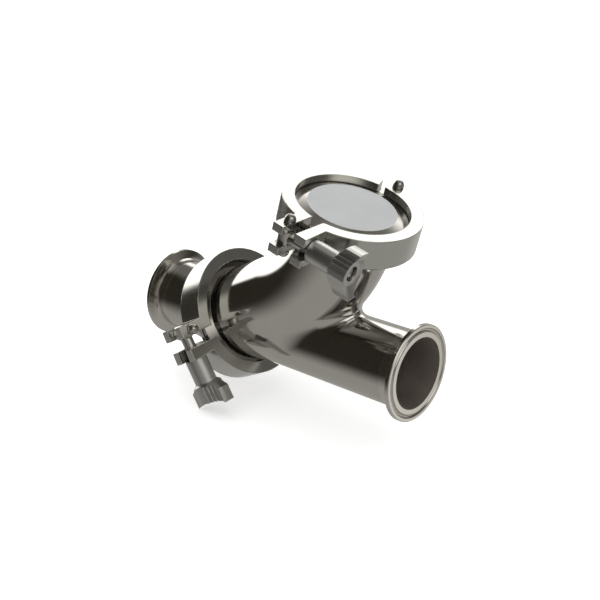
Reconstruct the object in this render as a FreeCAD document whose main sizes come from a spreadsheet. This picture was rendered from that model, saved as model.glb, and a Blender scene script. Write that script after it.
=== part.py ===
import FreeCAD, Part
import Sketcher
import math
import os
from FreeCAD import Placement, Rotation, Vector

# Y strainer, clamp ended, hygienic stainless steel. Millimetres and degrees.
# Origin at the centre of the inlet mouth, +X along the run to the outlet, +Z up.
# The pattern lies in the XZ plane: the barrel rises from the inlet joint, bends
# steeper and ends at the cap joint; the run tube leaves it along +X.

DIMENSIONS = [
    # run, tube and pattern
    ("FaceToFace", 217.8),
    ("RunTubeRadius", 25.4),
    ("RunBoreRadius", 23.75),
    ("BarrelRadius", 31.75),
    ("BarrelBoreRadius", 30.1),
    ("InletTilt", 27.5),
    ("CapTilt", 74.0),
    ("InletJointX", 64.12),
    ("InletJointZ", -0.41),
    ("InletLeg", 95.57),
    ("CapLeg", 49.99),
    ("BendRadius", 95.0),
    ("OutletStartX", 81.0),
    ("JunctionBlend", 6.0),
    # ferrules
    ("RunRimRadius", 32.0),
    ("BigRimRadius", 38.75),
    ("RimThick", 2.85),
    ("RimChamfer", 0.4),
    ("BevelSlope", 0.36397),
    ("RunGrooveRadius", 28.3),
    ("BigGrooveRadius", 35.3),
    ("GrooveDepth", 1.35),
    ("RunFerruleLength", 12.7),
    ("BigFerruleLength", 5.5),
    ("RootBlend", 2.0),
    ("HalfGap", 0.8),
    # neck of the inlet adapter
    ("NeckStraight", 10.0),
    ("NeckMidX", 36.0),
    ("NeckMidZ", -0.35),
    ("NeckMidTilt", 9.0),
    ("NeckMidSwell", 1.3),
    # cap
    ("CapFlatRadius", 28.7),
    # gaskets
    ("GasketOuter", 38.0),
    ("GasketHalf", 0.78),
    ("BeadRadius", 1.2),
    # strainer basket
    ("SeatRadius", 32.05),
    ("SeatDepth", 2.0),
    ("SeatLift", 0.05),
    ("ScreenRingRadius", 31.95),
    ("ScreenRingThick", 1.9),
    ("ScreenTubeOuter", 25.2),
    ("ScreenTubeInner", 24.2),
    ("MeshOuter", 25.6),
    ("MeshInner", 25.25),
    ("MeshLift", 0.1),
    ("ScreenLength", 82.0),
    ("ScreenHoleRadius", 3.2),
    ("ScreenHoleStart", 11.0),
    ("ScreenHolePitch", 10.0),
    ("EndDiscGap", 0.02),
    ("EndDiscTop", 1.5),
    # clamp
    ("ClampHalfWidth", 9.8),
    ("ClampOuter", 45.3),
    ("ClampOpening", 37.0),
    ("ClampGrooveBottom", 39.3),
    ("ClampGrooveClear", 0.35),
    ("SwingRelief", 4.6),
    ("FixedFaceX", 2.2),
    ("FixedEarOuterX", 10.0),
    ("EarEndY", 63.4),
    ("EarTopY", 30.0),
    ("LugFaceX", 6.3),
    ("LugEndY", 62.2),
    ("FixedSlotY", 47.6),
    ("SwingSlotY", 48.6),
    ("EarSlotHalf", 4.5),
    ("HingeX", 0.5),
    ("HingeY", 46.4),
    ("HingeEyeRadius", 5.8),
    ("TongueHalf", 3.5),
    ("TongueEyeRadius", 5.6),
    ("ForkHalf", 3.62),
    ("ForkClear", 0.6),
    ("BoltPinX", 5.3),
    ("BoltPinY", 54.0),
    ("PinRadius", 2.6),
    ("PinClear", 0.05),
    ("PinPast", 1.0),
    ("BallRadius", 3.65),
    ("BallLift", 1.1),
    ("BallFaceGap", 0.03),
    # T-bolt and nut
    ("BoltTilt", 2.5),
    ("BoltEyeRadius", 5.2),
    ("BoltEyeHalf", 4.3),
    ("BoltRadius", 4.0),
    ("BoltLength", 47.6),
    ("BoltChamfer", 0.8),
    ("BearingAt", 19.6),
    ("NutFaceGap", 0.06),
    ("NutBarrelRadius", 7.6),
    ("NutLowChamfer", 0.5),
    ("NutTopChamfer", 0.3),
    ("NutWingStart", 17.6),
    ("NutHubLength", 29.8),
    ("NutWingTip", 15.4),
    ("NutHoleRadius", 4.8),
    ("InsertRadius", 5.6),
    ("InsertClear", 0.05),
    ("InsertBoltClear", 0.05),
    ("InsertLift", 0.05),
    ("InsertEndClear", 0.1),
    ("InsertLength", 13.4),
]

CUT_PAST = 1.0           # how far a cutting tool runs past the face it opens
TRIM_RADIUS = 60.0       # cylinder that trims the body at the inlet weld
TRIM_LENGTH = 40.0
HOLE_ROWS = 7            # strainer basket
HOLES_AROUND = 12
PUNCH_HALF = 30.0
WING_STOCK = 40.0        # height of the wings before the envelope trims them

# Neck root of a ferrule, in root blends: radius above the neck, height above the bevel's end
ROOT_CURVE = [(1, 0), (0.35, 0.42), (0.08, 0.95), (0, 1.5)]

# Wing seen along the nut: x out to the tip, y across; drawn with its tip at WING_REACH
WING_REACH = 15.4
WING = [
    (1.5, -9.2), (4.5, -8.6), (7.0, -7.3), (8.4, -5.2), (10.2, -3.3), (12.6, -1.9), (15.4, -1.0),
    (15.0, 1.8), (14.3, 4.6), (13.1, 7.2), (12.2, 6.3), (10.4, 6.0), (10.4, 6.6), (7.9, 6.9),
    (7.9, 7.6), (5.3, 7.9), (5.3, 8.6), (2.6, 8.9), (2.6, 9.6), (1.2, 9.4), (-1.5, 9.2),
]


# ---------------------------------------------------------------- driving dimensions
class Dim:
    """A number that also knows its spreadsheet expression."""

    def __init__(self, value, text):
        self.value = float(value)
        self.text = text

    def joined(self, sign, other, value):
        return Dim(value, "(%s %s %s)" % (self.text, sign, other.text))

    def __add__(self, other):
        other = dim(other)
        return self.joined("+", other, self.value + other.value)

    def __sub__(self, other):
        other = dim(other)
        return self.joined("-", other, self.value - other.value)

    def __mul__(self, other):
        other = dim(other)
        return self.joined("*", other, self.value * other.value)

    def __truediv__(self, other):
        other = dim(other)
        return self.joined("/", other, self.value / other.value)

    def __neg__(self):
        return Dim(-self.value, "(0 - %s)" % self.text)


def dim(number):
    """A plain number as a Dim; a Dim is passed through."""
    if isinstance(number, Dim):
        return number
    return Dim(number, "(0 - %.6f)" % -number if number < 0 else "%.6f" % number)


class Size:
    """Holds every driving dimension as a Dim, under its alias."""


doc = FreeCAD.newDocument("YStrainer")
sheet = doc.addObject("Spreadsheet::Sheet", "Dims")
for row, (alias, number) in enumerate(DIMENSIONS, start=1):
    sheet.set("A%d" % row, alias)
    sheet.set("B%d" % row, "%g" % number)
    sheet.setAlias("B%d" % row, alias)
    setattr(Size, alias, Dim(number, "Dims." + alias))
doc.recompute()

pieces = []


def finish(obj, label, place=None):
    """Label a finished piece, put it in its place and list it for export."""
    obj.Label = label
    if place is not None:
        obj.Placement = place
    pieces.append(obj)


# ---------------------------------------------------------------- sketches
def polygon(sketch, points):
    """Closed polygon; every corner is dimensioned from the sheet."""
    points = [(dim(x), dim(y)) for x, y in points]
    count = len(points)
    for i in range(count):
        ends = [Vector(x.value, y.value, 0) for x, y in (points[i], points[(i + 1) % count])]
        sketch.addGeometry(Part.LineSegment(*ends), False)
    for i in range(count):
        sketch.addConstraint(Sketcher.Constraint("Coincident", i, 2, (i + 1) % count, 1))
    for i in range(count):
        for axis, line, size in (("X", -2, points[i][0]), ("Y", -1, points[i][1])):
            if abs(size.value) < 1e-9:
                sketch.addConstraint(Sketcher.Constraint("PointOnObject", i, 1, line))
                continue
            # a sketch distance is positive, so a negative place is measured back to the origin
            ends = (-1, 1, i, 1)
            if size.value < 0:
                ends = (i, 1, -1, 1)
                size = -size
            index = sketch.addConstraint(
                Sketcher.Constraint("Distance" + axis, *ends, size.value))
            name = "p%d%s" % (i, axis)
            sketch.renameConstraint(index, name)
            sketch.setExpression("Constraints." + name, size.text)


# ---------------------------------------------------------------- solids
def turned_body(name, points):
    """PartDesign body turned about Z from a profile of (radius, height)."""
    body = doc.addObject("PartDesign::Body", name)
    plane = [f for f in body.Origin.OriginFeatures if f.Role == "XZ_Plane"][0]
    sketch = body.newObject("Sketcher::SketchObject", name + "Profile")
    sketch.AttachmentSupport = (plane, [""])
    sketch.MapMode = "FlatFace"
    polygon(sketch, points)
    doc.recompute()
    revolution = body.newObject("PartDesign::Revolution", name + "Turned")
    revolution.Profile = sketch
    revolution.ReferenceAxis = (sketch, ["V_Axis"])
    revolution.Angle = 360.0
    doc.recompute()
    body.Tip = revolution
    return body


def turned(name, points):
    """Solid of revolution about Z, from (radius, height), for boolean work."""
    sketch = doc.addObject("Sketcher::SketchObject", name + "Profile")
    sketch.Placement = Placement(Vector(0, 0, 0), Rotation(Vector(1, 0, 0), 90))
    polygon(sketch, points)
    doc.recompute()
    revolution = doc.addObject("Part::Revolution", name)
    revolution.Source = sketch
    revolution.Axis = Vector(0, 0, 1)
    revolution.Base = Vector(0, 0, 0)
    revolution.Angle = 360.0
    revolution.Solid = True
    return revolution


def prism(name, points, high, low=None):
    """Upright prism from low to high; without a low it is centred on z = 0."""
    high = dim(high)
    low = -high if low is None else dim(low)
    sketch = doc.addObject("Sketcher::SketchObject", name + "Profile")
    polygon(sketch, points)
    sketch.Placement = Placement(Vector(0, 0, low.value), Rotation())
    sketch.setExpression("Placement.Base.z", low.text)
    doc.recompute()
    extrusion = doc.addObject("Part::Extrusion", name)
    extrusion.Base = sketch
    extrusion.DirMode = "Custom"
    extrusion.Dir = Vector(0, 0, 1)
    extrusion.Solid = True
    extrusion.setExpression("LengthFwd", (high - low).text)
    return extrusion


def bind_place(obj, x, y, z):
    """Drive an object's position from the sheet."""
    for axis, size in (("x", x), ("y", y), ("z", z)):
        obj.setExpression("Placement.Base." + axis, dim(size).text)


def rod(name, radius, half, x=0, y=0):
    """Upright cylinder centred on z = 0."""
    obj = doc.addObject("Part::Cylinder", name)
    obj.setExpression("Radius", dim(radius).text)
    obj.setExpression("Height", (half * 2).text)
    bind_place(obj, x, y, -half)
    return obj


def cylinder(name, radius, length, place):
    """Cylinder along the local Z of a placement."""
    obj = doc.addObject("Part::Cylinder", name)
    obj.setExpression("Radius", dim(radius).text)
    if isinstance(length, Dim):
        obj.setExpression("Height", length.text)
    else:
        obj.Height = length
    obj.Placement = place
    return obj


def ring(name, major, minor, z=0):
    obj = doc.addObject("Part::Torus", name)
    obj.setExpression("Radius1", major.text)
    obj.setExpression("Radius2", minor.text)
    obj.setExpression("Placement.Base.z", dim(z).text)
    return obj


def ball(name, radius, x, y, z):
    obj = doc.addObject("Part::Sphere", name)
    obj.setExpression("Radius", radius.text)
    bind_place(obj, x, y, z)
    return obj


def fuse(name, parts):
    obj = doc.addObject("Part::MultiFuse", name)
    obj.Shapes = parts
    obj.Refine = True
    return obj


def common(name, parts):
    obj = doc.addObject("Part::MultiCommon", name)
    obj.Shapes = parts
    return obj


def cut(name, base, tool):
    obj = doc.addObject("Part::Cut", name)
    obj.Base = base
    obj.Tool = tool
    return obj


def first_fillet(name, base, edges, radii, accept):
    """Fillet of the first radius that gives a sound shape.

    The kernel can fail on a large radius, so smaller ones follow; with none
    that holds, or no edge to round, the base is returned as it is.
    """
    if not edges:
        return base
    for radius in radii:
        fillet = doc.addObject("Part::Fillet", name)
        fillet.Base = base
        fillet.Edges = [(k, radius, radius) for k in edges]
        doc.recompute()
        shape = fillet.Shape
        if (not shape.isNull() and shape.isValid() and accept(shape)
                and "Invalid" not in fillet.State):
            return fillet
        doc.removeObject(fillet.Name)
    return base


# ---------------------------------------------------------------- frames
def direction(angle):
    """Unit vector in the XZ plane, tilted up from +X."""
    tilt = math.radians(angle)
    return Vector(math.cos(tilt), 0, math.sin(tilt))


def frame(origin, along):
    """Local Z along the given direction, local Y along world Y."""
    across = Vector(along.z, 0, -along.x)
    return Placement(origin, Rotation(across, Vector(0, 1, 0), along, "ZXY"))


def flip(place):
    """Same place, local Z turned round."""
    return place.multiply(Placement(Vector(0, 0, 0), Rotation(Vector(0, 1, 0), 180)))


def moved(place, x=0, y=0, z=0, turn=0):
    """Shifted in its own axes, then turned about its own Z."""
    return place.multiply(Placement(Vector(x, y, z), Rotation(Vector(0, 0, 1), turn)))


RUN_DIR = Vector(1, 0, 0)
INLET_DIR = direction(Size.InletTilt.value)
CAP_DIR = direction(Size.CapTilt.value)
INLET_JOINT = Vector(Size.InletJointX.value, 0, Size.InletJointZ.value)
LEGS_MEET = INLET_JOINT + INLET_DIR * Size.InletLeg.value
CAP_JOINT = LEGS_MEET + CAP_DIR * Size.CapLeg.value
INLET_FRAME = frame(INLET_JOINT, INLET_DIR)
CAP_FRAME = frame(CAP_JOINT, CAP_DIR)
HALF_GAP = Size.HalfGap.value
WELD = HALF_GAP + Size.BigFerruleLength.value      # joint centre to a big ferrule's weld


# ---------------------------------------------------------------- body
def pipe_pieces(name, barrel_radius, run_radius, inset, run_end):
    """Barrel (leg, bend, leg) and run tube; inset is the barrel's ends from the joints."""
    bend_angle = Size.CapTilt.value - Size.InletTilt.value
    tangent = Size.BendRadius.value * math.tan(math.radians(bend_angle / 2.0))
    bend_start = LEGS_MEET - INLET_DIR * tangent
    bend_end = LEGS_MEET + CAP_DIR * tangent
    inward = Vector(-INLET_DIR.z, 0, INLET_DIR.x)
    bend_centre = bend_start + inward * Size.BendRadius.value

    start = INLET_JOINT + INLET_DIR * inset
    inlet_leg = cylinder(name + "InletLeg", barrel_radius, (bend_start - start).Length,
                         frame(start, INLET_DIR))
    bend = ring(name + "Bend", Size.BendRadius, barrel_radius)
    bend.setExpression("Placement.Base.z", None)
    bend.setExpression("Angle3", (Size.CapTilt - Size.InletTilt).text)
    bend.Placement = Placement(
        bend_centre, Rotation(inward * -1, INLET_DIR, Vector(0, -1, 0), "ZXY"))
    end = CAP_JOINT - CAP_DIR * inset
    cap_leg = cylinder(name + "CapLeg", barrel_radius, (end - bend_end).Length,
                       frame(bend_end, CAP_DIR))
    run_start = Size.OutletStartX.value
    run = cylinder(name + "Run", run_radius, run_end - run_start,
                   frame(Vector(run_start, 0, 0), RUN_DIR))
    return fuse(name, [inlet_leg, bend, cap_leg, run])


def junction_edges(shape):
    """Edges where the run tube meets the barrel."""
    found = []
    for k, edge in enumerate(shape.Edges, start=1):
        kinds = set()
        for face in shape.ancestorsOfType(edge, Part.Face):
            surface = face.Surface
            if isinstance(surface, Part.Cylinder):
                is_run = abs(surface.Radius - Size.RunTubeRadius.value) < 0.01
                kinds.add("run" if is_run else "barrel")
            elif isinstance(surface, Part.Toroid):
                kinds.add("barrel")
        if kinds == {"run", "barrel"}:
            found.append(k)
    return found


def build_body():
    run_weld = Size.FaceToFace.value - Size.RunFerruleLength.value
    outer = pipe_pieces("BodyOuter", Size.BarrelRadius, Size.RunTubeRadius, WELD, run_weld)
    inner = pipe_pieces("BodyInner", Size.BarrelBoreRadius, Size.RunBoreRadius,
                        -CUT_PAST, run_weld + CUT_PAST)
    # the run tube stops at the plane of the inlet weld
    trim = cylinder("BodyTrim", TRIM_RADIUS, TRIM_LENGTH,
                    frame(INLET_JOINT + INLET_DIR * (WELD - TRIM_LENGTH), INLET_DIR))
    trimmed = cut("BodyOuterTrimmed", outer, trim)
    doc.recompute()
    blended = first_fillet("JunctionBlend", trimmed, junction_edges(trimmed.Shape),
                           (Size.JunctionBlend.value, 5.0, 4.0, 3.0, 2.0),
                           lambda shape: shape.Volume > trimmed.Shape.Volume)
    finish(cut("YBodyHollow", blended, inner), "y_body")


# ---------------------------------------------------------------- ferrules
RUN_FERRULE = dict(rim=Size.RunRimRadius, bore=Size.RunBoreRadius, neck=Size.RunTubeRadius,
                   length=Size.RunFerruleLength, groove=Size.RunGrooveRadius,
                   root=Size.RootBlend)
BIG_FERRULE = dict(rim=Size.BigRimRadius, bore=Size.BarrelBoreRadius, neck=Size.BarrelRadius,
                   length=Size.BigFerruleLength, groove=Size.BigGrooveRadius, root=dim(0))


def bevel_height(rim, radius):
    """Height of the bevelled back of a rim above its mating face, at a radius."""
    return Size.RimThick + (rim - radius) * Size.BevelSlope


def rim_points(rim):
    """Chamfered edge of a rim, from its mating face to the start of the bevel."""
    chamfer = Size.RimChamfer
    return [(rim - chamfer, 0), (rim, chamfer), (rim, Size.RimThick)]


def ferrule(label, place, rim, bore, neck, length, groove, root, seat=False):
    """Clamp ferrule turned about Z, mating face at z = 0, neck towards +Z."""
    bevel_end = bevel_height(rim, neck + root)
    curve = ROOT_CURVE if root.value > 0 else [(0, 0)]
    points = [(Size.SeatRadius if seat else bore, 0)] + rim_points(rim)
    points += [(neck + root * out, bevel_end + root * up) for out, up in curve]
    points += [(neck, length), (bore, length)]
    if seat:
        points += [(bore, Size.SeatDepth), (Size.SeatRadius, Size.SeatDepth)]
    blank = turned_body(label + "_blank", points)
    groove_ring = ring(label + "_groove", groove, Size.GrooveDepth)
    finish(cut(label + "_cut", blank, groove_ring), label, place)


def build_ferrules():
    outlet = flip(frame(Vector(Size.FaceToFace.value, 0, 0), RUN_DIR))
    ferrule("outlet_ferrule", outlet, **RUN_FERRULE)
    ferrule("inlet_ferrule", frame(Vector(0, 0, 0), RUN_DIR), **RUN_FERRULE)
    ferrule("body_inlet_ferrule", moved(INLET_FRAME, z=HALF_GAP), seat=True, **BIG_FERRULE)
    ferrule("inlet_adapter_flange", flip(moved(INLET_FRAME, z=-HALF_GAP)), **BIG_FERRULE)
    ferrule("body_cap_ferrule", flip(moved(CAP_FRAME, z=-HALF_GAP)), **BIG_FERRULE)


# ---------------------------------------------------------------- inlet adapter tube
def neck_loft(name, small, big):
    """Loft from the run ferrule, tilting and widening to the inlet joint's flange."""
    start_x = Size.RunFerruleLength.value
    middle = Vector(Size.NeckMidX.value, 0, Size.NeckMidZ.value)
    stations = [
        ("A", small, frame(Vector(start_x, 0, 0), RUN_DIR)),
        ("B", small, frame(Vector(start_x + Size.NeckStraight.value, 0, 0), RUN_DIR)),
        ("C", small + Size.NeckMidSwell, frame(middle, direction(Size.NeckMidTilt.value))),
        ("D", big, frame(INLET_JOINT - INLET_DIR * WELD, INLET_DIR)),
    ]
    sections = []
    for letter, radius, place in stations:
        circle = doc.addObject("Part::Circle", name + letter)
        circle.setExpression("Radius", radius.text)
        circle.Placement = place
        sections.append(circle)
    loft = doc.addObject("Part::Loft", name)
    loft.Sections = sections
    loft.Solid = True
    loft.Ruled = False
    return loft


def build_adapter_tube():
    outer = neck_loft("NeckOuter", Size.RunTubeRadius, Size.BarrelRadius)
    inner = neck_loft("NeckInner", Size.RunBoreRadius, Size.BarrelBoreRadius)
    finish(cut("NeckHollow", outer, inner), "inlet_adapter_tube")


# ---------------------------------------------------------------- cap and gaskets
def build_cap():
    top = bevel_height(Size.BigRimRadius, Size.CapFlatRadius)
    blank = turned_body("EndCapBlank", [(0, 0)] + rim_points(Size.BigRimRadius)
                        + [(Size.CapFlatRadius, top), (0, top)])
    groove = ring("EndCapGroove", Size.BigGrooveRadius, Size.GrooveDepth)
    finish(cut("EndCapCut", blank, groove), "end_cap", moved(CAP_FRAME, z=HALF_GAP))


def tube_points(inner, outer, low, high):
    """Rectangular profile of a tube, ring or disc."""
    return [(inner, low), (outer, low), (outer, high), (inner, high)]


def build_gasket(label, place):
    """Flat ring with a bead for the groove on each side."""
    half = Size.GasketHalf
    flat = turned_body(label + "_flat",
                       tube_points(Size.BarrelBoreRadius, Size.GasketOuter, -half, half))
    beads = [ring(label + suffix, Size.BigGrooveRadius, Size.BeadRadius, z)
             for suffix, z in (("_bead_low", -Size.HalfGap), ("_bead_high", Size.HalfGap))]
    finish(fuse(label + "_ring", [flat] + beads), label, place)


# ---------------------------------------------------------------- strainer basket
def build_punches():
    """Crossing cylinders, each through both sides of the tube; odd rows are staggered."""
    punches = []
    for row in range(HOLE_ROWS):
        height = Size.ScreenHoleStart.value + Size.ScreenHolePitch.value * row
        for k in range(HOLES_AROUND // 2):
            angle = 360.0 / HOLES_AROUND * (k + 0.5 * (row % 2))
            turn = Rotation(Vector(0, 0, 1), angle).multiply(Rotation(Vector(0, 1, 0), 90))
            start = turn.multVec(Vector(0, 0, -PUNCH_HALF)) + Vector(0, 0, height)
            punches.append(cylinder("Punch%d_%d" % (row, k), Size.ScreenHoleRadius,
                                    2 * PUNCH_HALF, Placement(start, turn)))
    compound = doc.addObject("Part::Compound", "Punches")
    compound.Links = punches
    return compound


def build_basket():
    """Seat ring, punched tube, mesh sleeve and end disc, up from the inlet ferrule's seat."""
    place = moved(INLET_FRAME, z=HALF_GAP + Size.SeatLift.value)
    low = Size.ScreenRingThick
    top = Size.ScreenLength
    finish(turned_body("ScreenRingBody",
                       tube_points(Size.ScreenTubeInner, Size.ScreenRingRadius, 0, low)),
           "screen_ring", place)
    sleeve = turned_body("ScreenTubeBlank",
                         tube_points(Size.ScreenTubeInner, Size.ScreenTubeOuter, low, top))
    finish(cut("ScreenTubePunched", sleeve, build_punches()), "screen_tube", place)
    finish(turned_body("ScreenMeshBody",
                       tube_points(Size.MeshInner, Size.MeshOuter, low + Size.MeshLift, top)),
           "screen_mesh", place)
    finish(turned_body("ScreenEndBody",
                       tube_points(0, Size.MeshOuter, top + Size.EndDiscGap,
                                   top + Size.EndDiscTop)),
           "screen_end_disc", place)


# ---------------------------------------------------------------- clamps
# Clamp frame: Z along the joint's axis, hinge pin on the +Y side, bolt pin on the
# -Y side, fixed half towards -X, swing half towards +X.
CLAMP_HALF = Size.ClampHalfWidth
CUT_HALF = CLAMP_HALF + CUT_PAST
HINGE_X, HINGE_Y = Size.HingeX, Size.HingeY
BOLT_X, BOLT_Y = -Size.BoltPinX, -Size.BoltPinY
PIN_HOLE = Size.PinRadius + Size.PinClear
BOLT_ANGLE = math.radians(Size.BoltTilt.value)


def clamp_groove(name):
    """Clamp opening with the V groove that takes the two rims."""
    opening, bottom = Size.ClampOpening, Size.ClampGrooveBottom
    clear = Size.HalfGap + Size.ClampGrooveClear
    z_open = bevel_height(Size.BigRimRadius, opening) + clear
    z_deep = bevel_height(Size.BigRimRadius, bottom) + clear
    return turned(name, [(0, -CUT_HALF), (opening, -CUT_HALF), (opening, -z_open),
                         (bottom, -z_deep), (bottom, z_deep), (opening, z_open),
                         (opening, CUT_HALF), (0, CUT_HALF)])


def build_fixed_half(prefix, base):
    """Arc on the -X side with the slotted ear and the hinge tongue."""
    face = -Size.FixedFaceX
    disc = rod(prefix + "FixedDisc", Size.ClampOuter, CLAMP_HALF)
    # the corners at 60 and 70 lie clear of the disc; the others are the parting line
    side = prism(prefix + "FixedSide",
                 [(-60, -70), (face, -70), (face, -10), (-6.5, 30), (-7.6, 36.0),
                  (-11.0, 46.5), (-11.0, 60), (-60, 60)], CLAMP_HALF)
    arc = common(prefix + "FixedArc", [disc, side])
    outer, end, top = -Size.FixedEarOuterX, -Size.EarEndY, -Size.EarTopY
    ear = prism(prefix + "FixedEar", [(outer, end), (face, end), (face, top), (outer, top)],
                CLAMP_HALF)
    tongue = prism(prefix + "Tongue",
                   [(-15, 36), (HINGE_X, HINGE_Y - Size.TongueEyeRadius),
                    (HINGE_X - 2.9, HINGE_Y + 4.75), (-13.5, 43.2)], Size.TongueHalf)
    knuckle = rod(prefix + "Knuckle", Size.TongueEyeRadius, Size.TongueHalf, HINGE_X, HINGE_Y)
    solid = fuse(prefix + "FixedSolid", [arc, ear, tongue, knuckle])

    slot_end = -Size.FixedSlotY
    slot = prism(prefix + "FixedSlot", [(-20, -80), (5, -80), (5, slot_end), (-20, slot_end)],
                 Size.EarSlotHalf)
    hinge_hole = rod(prefix + "FixedHingeHole", PIN_HOLE, CLAMP_HALF, HINGE_X, HINGE_Y)
    bolt_hole = rod(prefix + "FixedBoltHole", PIN_HOLE, CUT_HALF, BOLT_X, BOLT_Y)
    tools = fuse(prefix + "FixedTools",
                 [clamp_groove(prefix + "FixedGroove"), slot, hinge_hole, bolt_hole])
    finish(cut(prefix + "FixedHalf", solid, tools), prefix + "fixed_half", base)


def swing_lug(prefix):
    """Lug whose outer face stands square to the tilted bolt, where the nut bears."""
    bearing_x = BOLT_X + Size.BearingAt * math.cos(BOLT_ANGLE)
    bearing_y = BOLT_Y + Size.BearingAt * math.sin(BOLT_ANGLE)
    lean = math.tan(BOLT_ANGLE)
    end, top = -Size.LugEndY, -Size.EarTopY
    return prism(prefix + "Lug",
                 [(Size.LugFaceX, end), (bearing_x - (end - bearing_y) * lean, end),
                  (bearing_x - (top - bearing_y) * lean, top), (Size.LugFaceX, top)],
                 CLAMP_HALF)


def hinge_web(prefix):
    """Web from arc to hinge eye, its outer edge on their common tangent."""
    outer, eye = Size.ClampOuter, Size.HingeEyeRadius
    spread = math.acos((outer.value - eye.value) / math.hypot(HINGE_X.value, HINGE_Y.value))
    angle = math.atan2(HINGE_Y.value, HINGE_X.value) - spread
    along_x, along_y = math.cos(angle), math.sin(angle)
    return prism(prefix + "HingeWeb",
                 [(HINGE_X + eye * along_x, HINGE_Y + eye * along_y),
                  (HINGE_X - 5.5, HINGE_Y - 1.8), (-3.0, 36.0),
                  (outer * along_x * 0.8, outer * along_y * 0.8),
                  (outer * along_x, outer * along_y)], CLAMP_HALF)


def lug_corner_edges(shape):
    """Edges along Z where the lug's inner face turns into the opening."""
    found = []
    for k, edge in enumerate(shape.Edges, start=1):
        middle = edge.valueAt((edge.FirstParameter + edge.LastParameter) / 2.0)
        box = edge.BoundBox
        upright = box.ZLength > 3 and box.XLength < 0.01 and box.YLength < 0.01
        on_face = abs(middle.x - Size.LugFaceX.value) < 0.05
        if upright and on_face and -37.5 < middle.y < -36.0:
            found.append(k)
    return found


def build_swing_half(prefix, base):
    """Arc on the +X side with the slotted lug and the forked hinge eye."""
    face = Size.LugFaceX
    disc = rod(prefix + "SwingDisc", Size.ClampOuter, CLAMP_HALF)
    # the corners at 60 and 70 lie clear of the disc; the others are the parting line
    side = prism(prefix + "SwingSide",
                 [(face, -70), (60, -70), (60, 60), (-5.0, 60), (-5.3, 44), (-3.2, 37.5),
                  (-2.4, 30), (face, -10)], CLAMP_HALF)
    arc = common(prefix + "SwingArc", [disc, side])
    lug = swing_lug(prefix)
    eye = rod(prefix + "HingeEye", Size.HingeEyeRadius, CLAMP_HALF, HINGE_X, HINGE_Y)
    solid = fuse(prefix + "SwingSolid", [arc, lug, eye, hinge_web(prefix)])

    slot_end = -Size.SwingSlotY
    slot = prism(prefix + "SwingSlot", [(0, -80), (25, -80), (25, slot_end), (0, slot_end)],
                 Size.EarSlotHalf)
    fork_round = rod(prefix + "ForkRelief", Size.TongueEyeRadius + Size.ForkClear,
                     Size.ForkHalf, HINGE_X, HINGE_Y)
    fork_side = prism(prefix + "ForkRelief2",
                      [(-20, 30), (-2.0, 30),
                       (HINGE_X + 3.5, HINGE_Y - Size.TongueEyeRadius - 0.1),
                       (HINGE_X, HINGE_Y + 6.2), (-20, 60)], Size.ForkHalf)
    hinge_hole = rod(prefix + "SwingHingeHole", PIN_HOLE, CUT_HALF, HINGE_X, HINGE_Y)
    # a second groove, turned about the hinge pin, clears the rims as the half swings open
    open_groove = clamp_groove(prefix + "SwingGrooveOpen")
    open_groove.Placement = Placement(
        Vector(0, 0, 0), Rotation(Vector(0, 0, 1), -Size.SwingRelief.value),
        Vector(HINGE_X.value, HINGE_Y.value, 0))
    tools = fuse(prefix + "SwingTools",
                 [clamp_groove(prefix + "SwingGroove"), open_groove, slot, fork_round,
                  fork_side, hinge_hole])
    raw = cut(prefix + "SwingRaw", solid, tools)
    doc.recompute()
    rounded = first_fillet(prefix + "LugRound", raw, lug_corner_edges(raw.Shape),
                           (4.0, 3.0, 2.0), lambda shape: len(shape.Solids) == 1)
    finish(rounded, prefix + "swing_half", base)


def build_pin(prefix, pin, x, y, base):
    """Pin with a ball head on each face, the balls cut flat just off the clamp."""
    name = prefix + pin
    shank = rod(name + "Shank", Size.PinRadius, CLAMP_HALF + Size.PinPast, x, y)
    z_ball = CLAMP_HALF + Size.BallLift
    heads = fuse(name + "Heads", [ball(name + "Top", Size.BallRadius, x, y, z_ball),
                                  ball(name + "Bottom", Size.BallRadius, x, y, -z_ball)])
    between = rod(name + "Between", Size.BallRadius + 2, CLAMP_HALF + Size.BallFaceGap, x, y)
    trimmed = cut(name + "HeadsCut", heads, between)
    finish(fuse(name + "Pin", [shank, trimmed]), name, base)


def cross_rod(name, radius, half):
    """Cylinder along Y, centred on the origin."""
    return cylinder(name, radius, half * 2,
                    Placement(Vector(0, half.value, 0), Rotation(Vector(1, 0, 0), 90)))


def build_t_bolt(prefix, place):
    """Eye at the origin, shank along +Z."""
    radius, length, chamfer = Size.BoltRadius, Size.BoltLength, Size.BoltChamfer
    shank = turned(prefix + "BoltShank",
                   [(0, 0), (radius, 0), (radius, length - chamfer),
                    (radius - chamfer, length), (0, length)])
    eye = cross_rod(prefix + "BoltEye", Size.BoltEyeRadius, Size.BoltEyeHalf)
    bore = cross_rod(prefix + "BoltBore", PIN_HOLE, Size.BoltEyeHalf + CUT_PAST)
    solid = fuse(prefix + "TBoltSolid", [shank, eye])
    finish(cut(prefix + "TBolt", solid, bore), prefix + "t_bolt", place)


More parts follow.
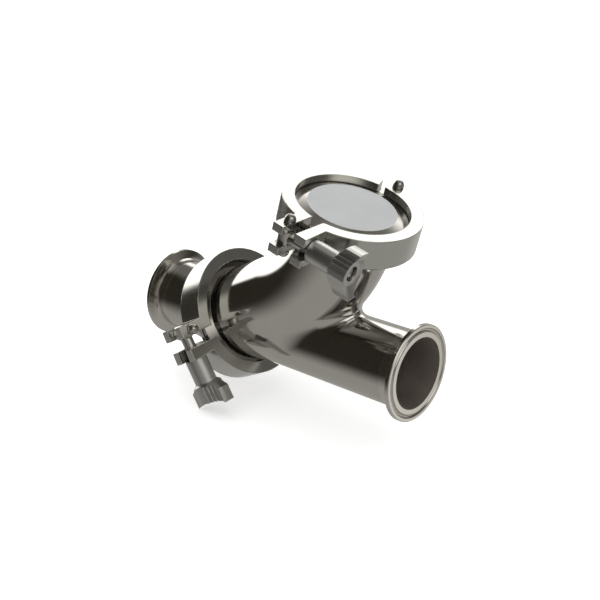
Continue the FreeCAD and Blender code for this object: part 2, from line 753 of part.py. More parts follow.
def build_wing_nut(prefix, place):
    """Barrel and two wings, bearing face at z = 0."""
    radius, hub = Size.NutBarrelRadius, Size.NutHubLength
    low, top = Size.NutLowChamfer, Size.NutTopChamfer
    barrel = turned(prefix + "NutBarrel",
                    [(0, 0), (radius - low, 0), (radius, low), (radius, hub - top),
                     (radius - top, hub), (0, hub)])
    scale = Size.NutWingTip / WING_REACH
    wings = fuse(prefix + "Wings", [
        prism(prefix + name, [(scale * (side * x), scale * (side * y)) for x, y in WING],
              WING_STOCK, low=0)
        for name, side in (("WingA", 1), ("WingB", -1))])
    start = Size.NutWingStart
    reach = Size.NutWingTip + 0.8
    envelope = turned(prefix + "WingEnvelope",
                      [(0, start - 0.5), (radius, start), (reach, start + 6.9),
                       (reach, hub + 4.9), (radius, hub), (0, hub)])
    swept = common(prefix + "WingsSwept", [wings, envelope])
    solid = fuse(prefix + "NutSolid", [barrel, swept])
    pocket = Size.InsertRadius + Size.InsertClear
    pocket_end = Size.InsertLength + Size.InsertEndClear
    hole = turned(prefix + "NutHole",
                  [(0, -CUT_PAST), (pocket, -CUT_PAST), (pocket, pocket_end),
                   (Size.NutHoleRadius, pocket_end), (Size.NutHoleRadius, hub + CUT_PAST),
                   (0, hub + CUT_PAST)])
    finish(cut(prefix + "WingNut", solid, hole), prefix + "wing_nut", place)


def build_clamp(prefix, joint, twist, wing_angle):
    """Single-pin clamp: fixed half, swing half, pins, T-bolt, wing nut and insert."""
    base = moved(joint, turn=twist)
    build_fixed_half(prefix, base)
    build_swing_half(prefix, base)
    build_pin(prefix, "hinge_pin", HINGE_X, HINGE_Y, base)
    build_pin(prefix, "bolt_pin", BOLT_X, BOLT_Y, base)

    # bolt frame: Z along the bolt, X across in the clamp's plane, Y along the clamp's axis
    tilted = moved(base, BOLT_X.value, BOLT_Y.value, turn=Size.BoltTilt.value)
    bolt = tilted.multiply(Placement(
        Vector(0, 0, 0),
        Rotation(Vector(0, 1, 0), Vector(0, 0, 1), Vector(1, 0, 0), "ZXY")))
    build_t_bolt(prefix, bolt)
    nut = moved(bolt, z=Size.BearingAt.value + Size.NutFaceGap.value, turn=wing_angle)
    build_wing_nut(prefix, nut)
    finish(turned_body(prefix + "InsertBody",
                       tube_points(Size.BoltRadius + Size.InsertBoltClear, Size.InsertRadius,
                                   Size.InsertLift, Size.InsertLength)),
           prefix + "nut_insert", nut)


# ---------------------------------------------------------------- build and export
def export():
    """Stop on any failed object or unsound piece, then write one file per piece."""
    for obj in doc.Objects:
        if "Invalid" in obj.State or "Error" in obj.State:
            raise RuntimeError("%s (%s) failed: %s" % (obj.Name, obj.Label, obj.State))
    for obj in pieces:
        if obj.Shape.isNull() or not obj.Shape.isValid():
            raise RuntimeError("bad shape: " + obj.Label)
        if len(obj.Shape.Solids) != 1:
            raise RuntimeError("%s has %d solids" % (obj.Label, len(obj.Shape.Solids)))
    os.makedirs("parts", exist_ok=True)
    for obj in pieces:
        obj.Shape.exportStep("parts/%s.step" % obj.Label)


build_body()
build_ferrules()
build_adapter_tube()
build_cap()
build_gasket("cap_gasket", CAP_FRAME)
build_gasket("inlet_gasket", INLET_FRAME)
build_basket()
build_clamp("cap_clamp_", CAP_FRAME, twist=0.0, wing_angle=73.0)
build_clamp("inlet_clamp_", INLET_FRAME, twist=1.5, wing_angle=78.0)
doc.recompute()
# a second pass for anything the first one left touched
doc.recompute()
export()
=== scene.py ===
"""Looks of the y strainer: two clamped joints, a bent barrel and a straight outlet tube, all in polished stainless steel."""

import math

import bmesh
import bpy
import numpy as np
from mathutils import Matrix, Vector

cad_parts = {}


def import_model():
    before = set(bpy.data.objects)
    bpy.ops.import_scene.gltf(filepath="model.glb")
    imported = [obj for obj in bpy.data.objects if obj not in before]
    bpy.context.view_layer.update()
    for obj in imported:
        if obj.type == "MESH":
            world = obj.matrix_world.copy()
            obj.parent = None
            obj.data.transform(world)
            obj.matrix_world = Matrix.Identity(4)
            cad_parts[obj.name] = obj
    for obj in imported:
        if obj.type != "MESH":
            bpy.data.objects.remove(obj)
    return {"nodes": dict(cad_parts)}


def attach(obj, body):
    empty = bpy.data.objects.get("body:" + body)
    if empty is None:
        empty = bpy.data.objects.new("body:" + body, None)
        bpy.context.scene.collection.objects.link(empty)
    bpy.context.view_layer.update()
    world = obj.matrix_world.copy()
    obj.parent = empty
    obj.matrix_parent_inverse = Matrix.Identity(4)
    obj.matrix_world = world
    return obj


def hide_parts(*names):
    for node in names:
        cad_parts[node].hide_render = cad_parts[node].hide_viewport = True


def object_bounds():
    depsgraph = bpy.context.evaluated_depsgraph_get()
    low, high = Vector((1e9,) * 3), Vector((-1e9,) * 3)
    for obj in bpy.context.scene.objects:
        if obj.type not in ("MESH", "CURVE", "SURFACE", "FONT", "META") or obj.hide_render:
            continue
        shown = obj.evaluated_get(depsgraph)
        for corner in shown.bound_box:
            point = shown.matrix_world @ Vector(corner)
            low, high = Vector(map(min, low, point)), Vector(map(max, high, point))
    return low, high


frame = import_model()
CAD_BOX = [list(map(float, c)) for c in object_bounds()]
MM = 0.001


# ---------------------------------------------------------------- geometry of the body, in millimetres
def unit(angle):
    a = math.radians(angle)
    return np.array([math.cos(a), 0.0, math.sin(a)])


D_IN, D_CAP = unit(27.5), unit(74.0)
J_IN = np.array([64.12, 0.0, -0.41])
MEET = J_IN + D_IN * 95.57
J_CAP = MEET + D_CAP * 49.99
BEND_R = 95.0
TURN = math.radians(74.0 - 27.5)
TANGENT = BEND_R * math.tan(TURN / 2)
BEND_A, BEND_B = MEET - D_IN * TANGENT, MEET + D_CAP * TANGENT
N_IN = np.array([-D_IN[2], 0.0, D_IN[0]])
BEND_C = BEND_A + BEND_R * N_IN
WELD_IN, WELD_CAP, WELD_OUT = J_IN + 6.3 * D_IN, J_CAP - 6.3 * D_CAP, np.array([205.1, 0.0, 0.0])


def axis_distance(p):
    """Distance from points p to the barrel's bent centre line, run on past both of its ends."""
    y2 = p[:, 1] ** 2
    q = p - BEND_A
    s, n = q @ D_IN, q @ N_IN
    before = np.where(s <= 0, np.sqrt(n * n + y2), 1e9)
    q = p - BEND_B
    n_cap = np.array([-D_CAP[2], 0.0, D_CAP[0]])
    s, n = q @ D_CAP, q @ n_cap
    after = np.where(s >= 0, np.sqrt(n * n + y2), 1e9)
    q = p - BEND_C
    u, v = -(q @ N_IN), q @ D_IN
    angle = np.arctan2(v, u)
    arc = np.where((angle >= 0) & (angle <= TURN), np.hypot(np.hypot(u, v) - BEND_R, p[:, 1]), 1e9)
    return np.minimum(np.minimum(before, after), arc)


def round_union(a, b, k):
    return np.maximum(k, np.minimum(a, b)) - np.hypot(np.maximum(k - a, 0), np.maximum(k - b, 0))


def smooth_max(a, b, k):
    h = np.clip(0.5 + 0.5 * (a - b) / k, 0, 1)
    return b + (a - b) * h + k * h * (1 - h)


def make_field(r_barrel, r_tube, blend):
    def field(p):
        barrel = axis_distance(p) - r_barrel
        tube = smooth_max(np.hypot(p[:, 1], p[:, 2]) - r_tube, 66.0 - p[:, 0], 20.0)
        return round_union(barrel, tube, blend)
    return field


def gradient(field, p):
    e = 0.02
    g = np.stack([field(p + e * a) - field(p - e * a) for a in np.eye(3)], 1)
    return g / np.maximum(np.linalg.norm(g, axis=1), 1e-12)[:, None]


def surface_net(field, lo, hi, step):
    """Points on the field's zero surface and the quads between them, outward facing."""
    axes = [np.arange(lo[i], hi[i] + step, step) for i in range(3)]
    shape = tuple(len(a) for a in axes)
    grid = np.stack(np.meshgrid(*axes, indexing="ij"), -1).reshape(-1, 3)
    f = np.concatenate([field(chunk) for chunk in np.array_split(grid, 24)]).reshape(shape)
    inside = f < 0
    cells = tuple(n - 1 for n in shape)
    corners = [(a, b, c) for a in (0, 1) for b in (0, 1) for c in (0, 1)]

    def at(array, o):
        return array[o[0]:o[0] + cells[0], o[1]:o[1] + cells[1], o[2]:o[2] + cells[2]]

    total = sum(at(inside, o).astype(np.int8) for o in corners)
    active = (total > 0) & (total < 8)
    index = np.full(cells, -1, np.int64)
    index[active] = np.arange(active.sum())
    base = np.argwhere(active)
    acc, count = np.zeros((len(base), 3)), np.zeros(len(base))
    for a in corners:
        for b in corners:
            if sum(b) - sum(a) != 1 or any(x > y for x, y in zip(a, b)):
                continue
            fa, fb = at(f, a)[active], at(f, b)[active]
            cross = (fa < 0) != (fb < 0)
            t = np.where(cross, fa / np.where(cross, fa - fb, 1), 0)
            point = np.array(a) + t[:, None] * (np.array(b) - np.array(a))
            acc += point * cross[:, None]
            count += cross
    points = np.array(lo) + (base + acc / count[:, None]) * step
    quads = []
    for axis in range(3):
        u, v = (axis + 1) % 3, (axis + 2) % 3
        first = [slice(None)] * 3
        second = [slice(None)] * 3
        first[axis], second[axis] = slice(0, -1), slice(1, None)
        a, b = inside[tuple(first)], inside[tuple(second)]
        hits = np.argwhere(a != b)
        ok = (hits[:, u] > 0) & (hits[:, v] > 0) & (hits[:, u] < cells[u]) & (hits[:, v] < cells[v])
        hits = hits[ok]
        around = []
        for du, dv in ((-1, -1), (0, -1), (0, 0), (-1, 0)):
            c = hits.copy()
            c[:, u] += du
            c[:, v] += dv
            around.append(index[c[:, 0], c[:, 1], c[:, 2]])
        q = np.stack(around, 1)
        leaving = a[hits[:, 0], hits[:, 1], hits[:, 2]]
        quads.append(np.where(leaving[:, None], q, q[:, ::-1]))
    return points, np.concatenate(quads)


def settle(field, points, quads, rounds=4):
    """Evens the net out along the surface and puts every point on it."""
    edges = np.concatenate([quads[:, [0, 1]], quads[:, [1, 2]], quads[:, [2, 3]], quads[:, [3, 0]]])
    edges = np.concatenate([edges, edges[:, ::-1]])
    degree = np.bincount(edges[:, 0], minlength=len(points))[:, None]

    def project(p, times):
        for _ in range(times):
            p = p - field(p)[:, None] * gradient(field, p)
        return p

    points = project(points, 3)
    for _ in range(rounds):
        mean = np.stack([np.bincount(edges[:, 0], weights=points[edges[:, 1], i], minlength=len(points)) for i in range(3)], 1)
        points = project(points + 0.5 * (mean / np.maximum(degree, 1) - points), 1)
    return project(points, 2)


def body_skin():
    outer = make_field(31.75, 25.4, 8.5)
    inner = make_field(30.1, 23.75, 3.0)
    bm = bmesh.new()
    for field, flip in ((outer, False), (inner, True)):
        lo, hi = (40.0, -34.0, -42.0), (212.0, 34.0, 100.0)
        points, quads = surface_net(field, lo, hi, 1.3)
        points = settle(field, points, quads)
        verts = [bm.verts.new(p) for p in points]
        for q in quads:
            bm.faces.new([verts[i] for i in (q[::-1] if flip else q)])
    bm.verts.ensure_lookup_table()
    ends = ((WELD_IN, -D_IN, 31.75, 30.1), (WELD_CAP, D_CAP, 31.75, 30.1), (WELD_OUT, np.array([1.0, 0, 0]), 25.4, 23.75))
    rings = []
    for centre, out, r_out, r_in in ends:
        # the inlet plane must not touch the far side of the object
        cut = bmesh.ops.bisect_plane(
            bm, geom=bm.verts[:] + bm.edges[:] + bm.faces[:], dist=1e-5,
            plane_co=Vector(centre), plane_no=Vector(out), clear_outer=True,
        )
        edges = [e for e in cut["geom_cut"] if isinstance(e, bmesh.types.BMEdge)]
        d = Vector(out)
        c = Vector(centre)
        for v in {v for e in edges for v in e.verts}:
            r = v.co - c
            r -= r.dot(d) * d
            aim = r_out if r.length > (r_out + r_in) / 2 else r_in
            v.co = c + r.normalized() * aim
        rings.append([e for e in edges if e.is_valid])
    caps = set()
    for ring in rings:
        made = bmesh.ops.bridge_loops(bm, edges=[e for e in ring if e.is_valid])
        caps.update(made["faces"])
    bmesh.ops.recalc_face_normals(bm, faces=bm.faces[:])
    bm.faces.index_update()
    cap_ids = {f.index for f in caps}
    mesh = bpy.data.meshes.new("y_body_skin")
    bm.to_mesh(mesh)
    bm.free()
    co = np.empty(len(mesh.vertices) * 3)
    mesh.vertices.foreach_get("co", co)
    co = co.reshape(-1, 3)
    near_out = np.abs(outer(co)) < np.abs(inner(co))
    normal = np.where(near_out[:, None], gradient(outer, co), -gradient(inner, co))
    mesh.vertices.foreach_set("co", (co * MM).ravel())
    mesh.update()
    mesh.shade_smooth()
    loop_normals = np.empty((len(mesh.loops), 3))
    for poly in mesh.polygons:
        for li in poly.loop_indices:
            loop_normals[li] = poly.normal if poly.index in cap_ids else normal[mesh.loops[li].vertex_index]
    mesh.normals_split_custom_set(loop_normals.tolist())
    mesh.materials.append(MATS["polished"])
    mesh.materials.append(MATS["bore"])
    inside = np.array([not near_out[list(poly.vertices)].any() for poly in mesh.polygons])
    mesh.polygons.foreach_set("material_index", inside.astype(np.int32))
    skin = bpy.data.objects.new("y_body_skin", mesh)
    bpy.context.scene.collection.objects.link(skin)
    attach(skin, "body")
    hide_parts("y_body")
    return skin


def woven_sleeve():
    """The strainer's wire cloth: two sets of round wires wound opposite ways round the perforated tube, over and under each other."""
    count, samples, sides, wire = 48, 97, 4, 0.14
    side = np.array([0.0, 1.0, 0.0])
    third = np.cross(D_IN, side)
    start = J_IN + 0.85 * D_IN
    verts, faces = [], []
    for hand in (1, -1):
        for k in range(count):
            t = np.linspace(0.0, 1.0, samples)
            along = 2.2 + 79.6 * t
            angle = 2 * math.pi * (k / count + hand * 0.5 * t)
            lift = 0.10 * hand * np.cos(math.pi * (count * t + k))
            radius = 25.42 + lift
            radial = np.cos(angle)[:, None] * side + np.sin(angle)[:, None] * third
            middle = start + along[:, None] * D_IN + radius[:, None] * radial
            run = np.gradient(middle, axis=0)
            run /= np.linalg.norm(run, axis=1)[:, None]
            across = np.cross(radial, run)
            base = len(verts)
            for i in range(samples):
                for j in range(sides):
                    a = 2 * math.pi * j / sides
                    verts.append((middle[i] + wire * (math.cos(a) * radial[i] + math.sin(a) * across[i])) * MM)
            for i in range(samples - 1):
                for j in range(sides):
                    a, b = base + i * sides + j, base + i * sides + (j + 1) % sides
                    faces.append((a, b, b + sides, a + sides))
            faces.append(tuple(base + j for j in range(sides))[::-1])
            faces.append(tuple(base + (samples - 1) * sides + j for j in range(sides)))
    mesh = bpy.data.meshes.new("screen_wire_cloth")
    mesh.from_pydata([tuple(v) for v in verts], [], faces)
    mesh.update()
    mesh.shade_smooth()
    mesh.materials.append(MATS["mesh"])
    cloth = bpy.data.objects.new("screen_wire_cloth", mesh)
    bpy.context.scene.collection.objects.link(cloth)
    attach(cloth, "body")
    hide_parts("screen_mesh")
    return cloth


# ---------------------------------------------------------------- node helpers
class Tree:
    def __init__(self, tree):
        self.t = tree
        tree.nodes.clear()

    def add(self, kind, **values):
        n = self.t.nodes.new(kind)
        for k, v in values.items():
            setattr(n, k, v)
        return n

    def link(self, a, b):
        self.t.links.new(a, b)

    def put(self, socket, value):
        if isinstance(value, bpy.types.NodeSocket):
            self.link(value, socket)
        elif value is not None:
            socket.default_value = value

    def math(self, op, a, b=None, c=None, clamp=False):
        n = self.add("ShaderNodeMath", operation=op, use_clamp=clamp)
        for s, v in zip(n.inputs, (a, b, c)):
            self.put(s, v)
        return n.outputs[0]

    def vmath(self, op, a, b=None, scale=None):
        n = self.add("ShaderNodeVectorMath", operation=op)
        self.put(n.inputs[0], a)
        if b is not None:
            self.put(n.inputs[1], b)
        if scale is not None:
            self.put(n.inputs["Scale"], scale)
        return n.outputs["Value"] if op in ("DOT_PRODUCT", "LENGTH") else n.outputs["Vector"]

    def step(self, value, lo, hi, out_lo=0.0, out_hi=1.0, kind="SMOOTHSTEP"):
        n = self.add("ShaderNodeMapRange", interpolation_type=kind, clamp=True)
        for name, v in (("Value", value), ("From Min", lo), ("From Max", hi), ("To Min", out_lo), ("To Max", out_hi)):
            self.put(n.inputs[name], v)
        return n.outputs["Result"]

    def mix(self, fac, a, b, blend="MIX"):
        n = self.add("ShaderNodeMix", data_type="RGBA", blend_type=blend, clamp_factor=True)
        self.put(n.inputs["Factor"], fac)
        self.put(n.inputs["A"], a)
        self.put(n.inputs["B"], b)
        return n.outputs["Result"]

    def noise(self, vector, scale, detail=3.0, rough=0.55, distortion=0.0):
        n = self.add("ShaderNodeTexNoise")
        self.put(n.inputs["Vector"], vector)
        for name, v in (("Scale", scale), ("Detail", detail), ("Roughness", rough), ("Distortion", distortion)):
            self.put(n.inputs[name], v)
        return n.outputs["Fac"]

    def xyz(self, vector):
        n = self.add("ShaderNodeSeparateXYZ")
        self.link(vector, n.inputs[0])
        return n.outputs

    def rgb(self, r, g, b):
        n = self.add("ShaderNodeRGB")
        n.outputs[0].default_value = (r, g, b, 1)
        return n.outputs[0]


def studio_group():
    """Light that reaches a polished surface from a direction: a wide soft window behind and to the left, a grey floor, a dark room."""
    g = bpy.data.node_groups.new("studio", "ShaderNodeTree")
    g.interface.new_socket("Direction", in_out="INPUT", socket_type="NodeSocketVector")
    g.interface.new_socket("Color", in_out="OUTPUT", socket_type="NodeSocketColor")
    t = Tree(g)
    inp, out = t.add("NodeGroupInput"), t.add("NodeGroupOutput")
    d = t.vmath("NORMALIZE", inp.outputs[0])
    x, y, z = t.xyz(d)
    az = t.math("MULTIPLY", t.math("ARCTAN2", x, y), 180 / math.pi)
    el = t.math("MULTIPLY", t.math("ARCSINE", z), 180 / math.pi)

    def band(value, lo0, lo1, hi1, hi0):
        return t.math("MULTIPLY", t.step(value, lo0, lo1), t.step(value, hi1, hi0, 1.0, 0.0))

    def patch(gain, az_edges, el_edges):
        return t.math("MULTIPLY", t.math("MULTIPLY", band(az, *az_edges), band(el, *el_edges)), gain)

    floor = t.math("MAXIMUM", t.step(el, -5, -42),
                   t.math("MULTIPLY", band(az, 66, 112, 166, 180), t.step(el, 14, -26)))
    parts = [
        patch(2.1, (-98, -90, -51, -44), (-11, -7, 18, 36)),      # low end of the window
        patch(1.85, (-56, -42, -8, 14), (15, 26, 44, 62)),         # high end of the window
        patch(0.44, (-50, -44, 6, 34), (-44, -14, 14, 28)),        # dim wall under it
        patch(0.16, (-112, -84, 20, 62), (18, 36, 58, 74)),        # wall above it
        patch(0.9, (-56, -51, -46, -42), (-44, -36, -12, -4)),     # strip light by the window
        patch(0.55, (27, 35, 50, 62), (-36, -29, -15, -7)),        # light table in front of the outlet
        patch(1.2, (62, 84, 122, 150), (12, 26, 50, 66)),          # window on the right
        patch(0.16, (28, 60, 150, 176), (-30, 0, 40, 70)),         # wall on the right
        t.math("MULTIPLY", t.step(el, 62, 84), 0.42),              # ceiling
        t.math("MULTIPLY", floor, 0.38),
    ]
    total = parts[0]
    for part in parts[1:]:
        total = t.math("ADD", total, part)
    grey = t.vmath("SCALE", t.rgb(1.0, 0.985, 0.95), scale=total)
    t.link(t.vmath("ADD", grey, t.rgb(0.028, 0.024, 0.018)), out.inputs[0])
    return g


STUDIO = studio_group()


def world():
    w = bpy.data.worlds.new("studio")
    bpy.context.scene.world = w
    w.use_nodes = True
    t = Tree(w.node_tree)
    coord = t.add("ShaderNodeTexCoord")
    group = t.add("ShaderNodeGroup")
    group.node_tree = STUDIO
    t.link(coord.outputs["Generated"], group.inputs[0])
    path = t.add("ShaderNodeLightPath")
    seen = t.add("ShaderNodeBackground")
    seen.inputs["Color"].default_value = (1, 1, 1, 1)
    seen.inputs["Strength"].default_value = 1.0
    gloss = t.add("ShaderNodeBackground")
    t.link(group.outputs[0], gloss.inputs["Color"])
    mix = t.add("ShaderNodeMixShader")
    t.link(path.outputs["Is Glossy Ray"], mix.inputs[0])
    t.link(seen.outputs[0], mix.inputs[1])
    t.link(gloss.outputs[0], mix.inputs[2])
    out = t.add("ShaderNodeOutputWorld")
    t.link(mix.outputs[0], out.inputs[0])


def floor():
    low = CAD_BOX[0][2]
    n = 24
    bm = bmesh.new()
    size = 3.0
    grid = [[bm.verts.new(((i / n - 0.5) * 2 * size + 0.1, (j / n - 0.5) * 2 * size, low - 0.0006)) for j in range(n + 1)] for i in range(n + 1)]
    for i in range(n):
        for j in range(n):
            bm.faces.new((grid[i][j], grid[i + 1][j], grid[i + 1][j + 1], grid[i][j + 1]))
    mesh = bpy.data.meshes.new("floor")
    bm.to_mesh(mesh)
    bm.free()
    obj = bpy.data.objects.new("floor", mesh)
    bpy.context.scene.collection.objects.link(obj)
    m = bpy.data.materials.new("floor_white")
    m.use_nodes = True
    t = Tree(m.node_tree)
    path = t.add("ShaderNodeLightPath")
    geo = t.add("ShaderNodeNewGeometry")
    group = t.add("ShaderNodeGroup")
    group.node_tree = STUDIO
    t.link(t.vmath("SCALE", geo.outputs["Incoming"], scale=-1.0), group.inputs[0])
    glow = t.add("ShaderNodeEmission")
    t.link(group.outputs[0], glow.inputs["Color"])
    paper = t.add("ShaderNodeBsdfDiffuse")
    coord = t.add("ShaderNodeTexCoord")
    grain = t.noise(coord.outputs["Object"], 18.0, 2.0)
    t.link(t.mix(grain, (0.93, 0.93, 0.93, 1), (0.96, 0.96, 0.96, 1)), paper.inputs["Color"])
    lit = t.add("ShaderNodeEmission")
    lit.inputs["Strength"].default_value = 0.40
    both = t.add("ShaderNodeAddShader")
    t.link(paper.outputs[0], both.inputs[0])
    t.link(lit.outputs[0], both.inputs[1])
    mix = t.add("ShaderNodeMixShader")
    t.link(path.outputs["Is Glossy Ray"], mix.inputs[0])
    t.link(both.outputs[0], mix.inputs[1])
    t.link(glow.outputs[0], mix.inputs[2])
    out = t.add("ShaderNodeOutputMaterial")
    t.link(mix.outputs[0], out.inputs[0])
    mesh.materials.append(m)


def metal(name, base, rough, smudge=0.3, grain=0.05, grain_scale=1400.0, bevel=0.0, edge=0.12,
          scratch=0.25, stretch=(1, 1, 1), metallic=1.0, aniso=0.0, cast=0.0, crevice_shade=0.25, face=None):
    """Steel finish: colour and roughness vary with handling marks and fine polish lines; corners and recesses get
    painted shade and a rougher finish.
    """
    m = bpy.data.materials.new(name)
    m.use_nodes = True
    t = Tree(m.node_tree)
    coord = t.add("ShaderNodeTexCoord").outputs["Object"]
    stretched = t.vmath("MULTIPLY", coord, stretch)
    big = t.noise(coord, 38.0, 4.0, 0.6)
    mid = t.noise(coord, 210.0, 3.0, 0.6)
    fine = t.noise(stretched, grain_scale, 3.0, 0.65)
    lines = t.noise(t.vmath("MULTIPLY", stretched, (1.0, 1.0, 1.0)), grain_scale * 0.4, 2.0, 0.5, 0.4)
    scratches = t.step(lines, 0.62, 0.70)
    bsdf = t.add("ShaderNodeBsdfPrincipled")
    # colour
    light = tuple(min(1.0, c * 1.05) for c in base)
    deep = tuple(c * 0.90 for c in base)
    colour = t.mix(big, (*deep, 1), (*light, 1))
    colour = t.mix(t.math("MULTIPLY", mid, 0.25), colour, (base[0] * 0.93, base[1] * 0.92, base[2] * 0.90, 1))
    geo = t.add("ShaderNodeNewGeometry")
    if bevel:
        bev = t.add("ShaderNodeBevel", samples=6)
        bev.inputs["Radius"].default_value = bevel * MM
        facing = t.vmath("DOT_PRODUCT", bev.outputs[0], geo.outputs["Normal"])
        rim = t.step(facing, 0.995, 0.90)
        colour = t.mix(t.math("MULTIPLY", rim, edge * 3.0), colour, tuple(min(1.0, c * 1.2) for c in base) + (1,))
    if crevice_shade:
        # painted shade: where ambient occlusion finds other surfaces close by (corners, recesses, gaps between parts),
        # the colour is darkened towards dark brown; the same mask also raises the roughness there
        ao = t.add("ShaderNodeAmbientOcclusion", samples=4)
        ao.inputs["Distance"].default_value = 3.0 * MM
        near = t.step(ao.outputs["AO"], 0.75, 0.25)
        near = t.math("MULTIPLY", near, t.math("MULTIPLY_ADD", mid, 0.8, 0.4))
        colour = t.mix(t.math("MULTIPLY", near, crevice_shade), colour, (0.10, 0.09, 0.075, 1))
    if face:
        # one flat face is blasted matt: everything that looks along the given axis
        axis, matt, matt_rough = face
        flat = t.step(t.vmath("DOT_PRODUCT", geo.outputs["Normal"], axis), 0.985, 0.995)
        even = t.mix(big, tuple(c * 0.96 for c in matt) + (1,), tuple(c * 1.03 for c in matt) + (1,))
        colour = t.mix(flat, colour, even)
    t.link(colour, bsdf.inputs["Base Color"])
    # roughness
    r = t.math("MULTIPLY_ADD", t.math("SUBTRACT", big, 0.5), rough * smudge * 2.0, rough)
    if face:
        r = t.math("MULTIPLY_ADD", flat, matt_rough - rough, r)
    r = t.math("ADD", r, t.math("MULTIPLY", t.math("SUBTRACT", fine, 0.5), rough * 0.35))
    r = t.math("ADD", r, t.math("MULTIPLY", scratches, rough * scratch))
    if crevice_shade:
        r = t.math("ADD", r, t.math("MULTIPLY", near, 0.18))
    t.link(t.math("MAXIMUM", r, 0.02), bsdf.inputs["Roughness"])
    bsdf.inputs["Metallic"].default_value = metallic
    if aniso:
        bsdf.inputs["Anisotropic"].default_value = aniso
    # relief
    height = t.math("MULTIPLY", fine, 1.0)
    height = t.math("ADD", height, t.math("MULTIPLY", scratches, -0.6))
    if cast:
        height = t.math("ADD", height, t.math("MULTIPLY", mid, cast))
    bump = t.add("ShaderNodeBump")
    bump.inputs["Strength"].default_value = grain
    bump.inputs["Distance"].default_value = 0.02 * MM
    t.link(height, bump.inputs["Height"])
    if bevel:
        t.link(bev.outputs[0], bump.inputs["Normal"])
    t.link(bump.outputs[0], bsdf.inputs["Normal"])
    out = t.add("ShaderNodeOutputMaterial")
    t.link(bsdf.outputs[0], out.inputs[0])
    return m


def rubber(name, base):
    m = bpy.data.materials.new(name)
    m.use_nodes = True
    t = Tree(m.node_tree)
    coord = t.add("ShaderNodeTexCoord").outputs["Object"]
    fine = t.noise(coord, 2600.0, 3.0, 0.6)
    big = t.noise(coord, 120.0, 4.0, 0.6)
    bsdf = t.add("ShaderNodeBsdfPrincipled")
    t.link(t.mix(big, (*[c * 0.8 for c in base], 1), (*[min(1, c * 1.25) for c in base], 1)), bsdf.inputs["Base Color"])
    t.link(t.step(fine, 0.2, 0.8, 0.52, 0.78), bsdf.inputs["Roughness"])
    bump = t.add("ShaderNodeBump")
    bump.inputs["Strength"].default_value = 0.35
    bump.inputs["Distance"].default_value = 0.04 * MM
    t.link(fine, bump.inputs["Height"])
    t.link(bump.outputs[0], bsdf.inputs["Normal"])
    out = t.add("ShaderNodeOutputMaterial")
    t.link(bsdf.outputs[0], out.inputs[0])
    return m


MATS = {
    "polished": metal("polished_steel", (0.60, 0.585, 0.555), 0.09, grain=0.06, bevel=0.0, crevice_shade=0.0, scratch=0.3),
    # painted light: the bore steel is lighter than the outer steel so the shaded inside of the tubes reads lighter; its
    # rougher finish is the bore's own
    "bore": metal("bore_steel_painted_light", (0.72, 0.67, 0.62), 0.46, grain=0.10, bevel=0.0, crevice_shade=0.0, scratch=0.3),
    "ferrule": metal("ferrule_steel", (0.66, 0.64, 0.60), 0.12, grain=0.05, bevel=0.25, crevice_shade=0.12, scratch=0.15),
    # painted shade: the ferrules welded to the body get a darker steel colour than the loose ferrules, standing in for
    # the shadow they sit in
    "shaded_neck": metal("shaded_neck_steel", (0.42, 0.40, 0.38), 0.14, grain=0.05, bevel=0.25, crevice_shade=0.2, scratch=0.15),
    "cap": metal("cap_steel", (0.60, 0.585, 0.56), 0.16, grain=0.10, bevel=0.2, crevice_shade=0.3, stretch=(1, 0.1, 1),
                 face=(tuple(D_CAP), (0.40, 0.414, 0.428), 0.45)),
    "cast": metal("cast_steel", (0.60, 0.60, 0.565), 0.19, grain=0.07, bevel=1.0, edge=0.0, crevice_shade=0.35, cast=0.6, scratch=0.1),
    "nut": metal("nut_steel", (0.56, 0.56, 0.54), 0.33, grain=0.07, bevel=0.6, edge=0.05, crevice_shade=0.35, cast=0.6, scratch=0.1),
    "pin": metal("pin_steel", (0.46, 0.445, 0.42), 0.24, grain=0.06, bevel=0.2, crevice_shade=0.3, scratch=0.1),
    "bolt": metal("bolt_steel", (0.55, 0.54, 0.51), 0.20, grain=0.1, bevel=0.2, crevice_shade=1.0, scratch=0.1),
    "bronze": metal("insert_bronze", (0.62, 0.42, 0.22), 0.28, grain=0.2, bevel=0.15, crevice_shade=0.5),
    "screen": metal("screen_steel", (0.58, 0.57, 0.54), 0.24, grain=0.2, bevel=0.0, crevice_shade=0.5),
    "mesh": metal("mesh_steel", (0.56, 0.55, 0.52), 0.30, grain=0.3, bevel=0.0, crevice_shade=0.6),
    "rubber": rubber("gasket_rubber", (0.028, 0.028, 0.03)),
}


def finish_for(node):
    if "gasket" in node:
        return "rubber"
    if node in ("y_body", "inlet_adapter_tube"):
        return "polished"
    if node == "end_cap":
        return "cap"
    # the body's own ferrules take the steel darkened with painted shade
    if node.startswith("body_") and "ferrule" in node:
        return "shaded_neck"
    if "ferrule" in node or node == "inlet_adapter_flange":
        return "ferrule"
    if node == "screen_mesh":
        return "mesh"
    if node.startswith("screen"):
        return "screen"
    if node.endswith("_half"):
        return "cast"
    if node.endswith("_pin"):
        return "pin"
    if node.endswith("t_bolt"):
        return "bolt"
    if node.endswith("wing_nut"):
        return "nut"
    if node.endswith("insert"):
        return "bronze"
    return "cast"


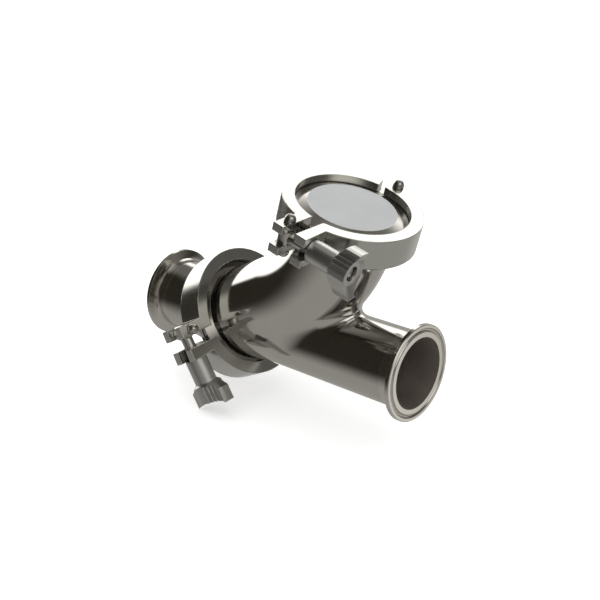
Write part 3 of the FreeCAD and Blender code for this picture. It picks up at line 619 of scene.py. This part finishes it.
def smooth_normals(mesh, angle=15.0):
    """Normals averaged over the faces that meet at a point, but never across an edge sharper than the angle. Corners stay where they are."""
    nv, nl, nf = len(mesh.vertices), len(mesh.loops), len(mesh.polygons)
    co = np.empty(nv * 3)
    mesh.vertices.foreach_get("co", co)
    key = np.round(co.reshape(-1, 3) / 1e-6).astype(np.int64)
    _, point = np.unique(key, axis=0, return_inverse=True)
    lv = np.empty(nl, np.int64)
    mesh.loops.foreach_get("vertex_index", lv)
    starts = np.empty(nf, np.int64)
    counts = np.empty(nf, np.int64)
    mesh.polygons.foreach_get("loop_start", starts)
    mesh.polygons.foreach_get("loop_total", counts)
    fn = np.empty(nf * 3)
    mesh.polygons.foreach_get("normal", fn)
    fn = fn.reshape(-1, 3)
    face = np.repeat(np.arange(nf), counts)
    order = np.concatenate([np.arange(a, a + c) for a, c in zip(starts, counts)])
    loop_face = np.empty(nl, np.int64)
    loop_face[order] = face
    nxt, prv = np.empty(nl, np.int64), np.empty(nl, np.int64)
    first, last = starts, starts + counts - 1
    nxt[:] = np.arange(nl) + 1
    nxt[last] = first
    prv[:] = np.arange(nl) - 1
    prv[first] = last
    pos = co.reshape(-1, 3)[lv]
    e1, e2 = pos[nxt] - pos, pos[prv] - pos
    e1 /= np.maximum(np.linalg.norm(e1, axis=1), 1e-15)[:, None]
    e2 /= np.maximum(np.linalg.norm(e2, axis=1), 1e-15)[:, None]
    corner = np.arccos(np.clip((e1 * e2).sum(1), -1, 1))
    where = point.reshape(-1)[lv]
    n_loop = fn[loop_face]
    by = np.argsort(where, kind="stable")
    bounds = np.flatnonzero(np.diff(where[by])) + 1
    groups = np.split(by, bounds)
    out = np.empty((nl, 3))
    limit = math.cos(math.radians(angle))
    for g in groups:
        n = n_loop[g]
        near = (n @ n.T) > limit
        total = near @ (n * corner[g][:, None])
        length = np.linalg.norm(total, axis=1)
        out[g] = np.where(length[:, None] > 1e-9, total / np.maximum(length, 1e-12)[:, None], n)
    mesh.shade_smooth()
    mesh.normals_split_custom_set(out.tolist())


ALONG_X = np.array([1.0, 0.0, 0.0])
BORES = {
    "outlet_ferrule": (np.zeros(3), ALONG_X, 23.75),
    "inlet_ferrule": (np.zeros(3), ALONG_X, 23.75),
    "body_inlet_ferrule": (J_IN, D_IN, 30.1),
    "body_cap_ferrule": (J_CAP, D_CAP, 30.1),
}


def dress_nodes():
    for name, obj in frame["nodes"].items():
        obj.data.materials.clear()
        obj.data.materials.append(MATS[finish_for(name)])
        if name in BORES:
            obj.data.materials.append(MATS["bore"])
            centre, along, radius = BORES[name]
            for poly in obj.data.polygons:
                p = np.array(obj.matrix_world @ poly.center) / MM - centre
                if np.linalg.norm(p - (p @ along) * along) < radius + 0.1:
                    poly.material_index = 1
        smooth_normals(obj.data)


def camera():
    data = bpy.data.cameras.new("camera")
    data.sensor_fit = "HORIZONTAL"
    data.sensor_width = 36.0
    data.lens = 1069.16 / 600 * 36.0
    data.clip_start, data.clip_end = 0.01, 50.0
    cam = bpy.data.objects.new("camera", data)
    right = Vector((0.75841, 0.65166, -0.01224))
    up = Vector((-0.24386, 0.30112, 0.92188))
    back = Vector((0.60444, -0.69618, 0.38729))
    m = Matrix((right, up, back)).transposed().to_4x4()
    m.translation = Vector((0.5554, -0.50105, 0.3030))
    cam.matrix_world = m
    bpy.context.scene.collection.objects.link(cam)
    bpy.context.scene.camera = cam


def lights():
    """A large soft box overhead lights the floor; the polished steel sees only the studio round it."""
    data = bpy.data.lights.new("overhead", "AREA")
    data.shape = "RECTANGLE"
    data.size, data.size_y = 2.4, 2.0
    data.energy = 4.0
    obj = bpy.data.objects.new("overhead", data)
    obj.location = (-0.5, 0.7, 2.0)
    obj.rotation_euler = (Vector((0.12, 0.0, 0.0)) - Vector(obj.location)).to_track_quat("-Z", "Y").to_euler()
    obj.visible_glossy = False
    bpy.context.scene.collection.objects.link(obj)


body_skin()
woven_sleeve()

dress_nodes()
world()
floor()
lights()
camera()
bpy.context.scene.view_settings.view_transform = "Standard"
bpy.context.scene.view_settings.look = "None"
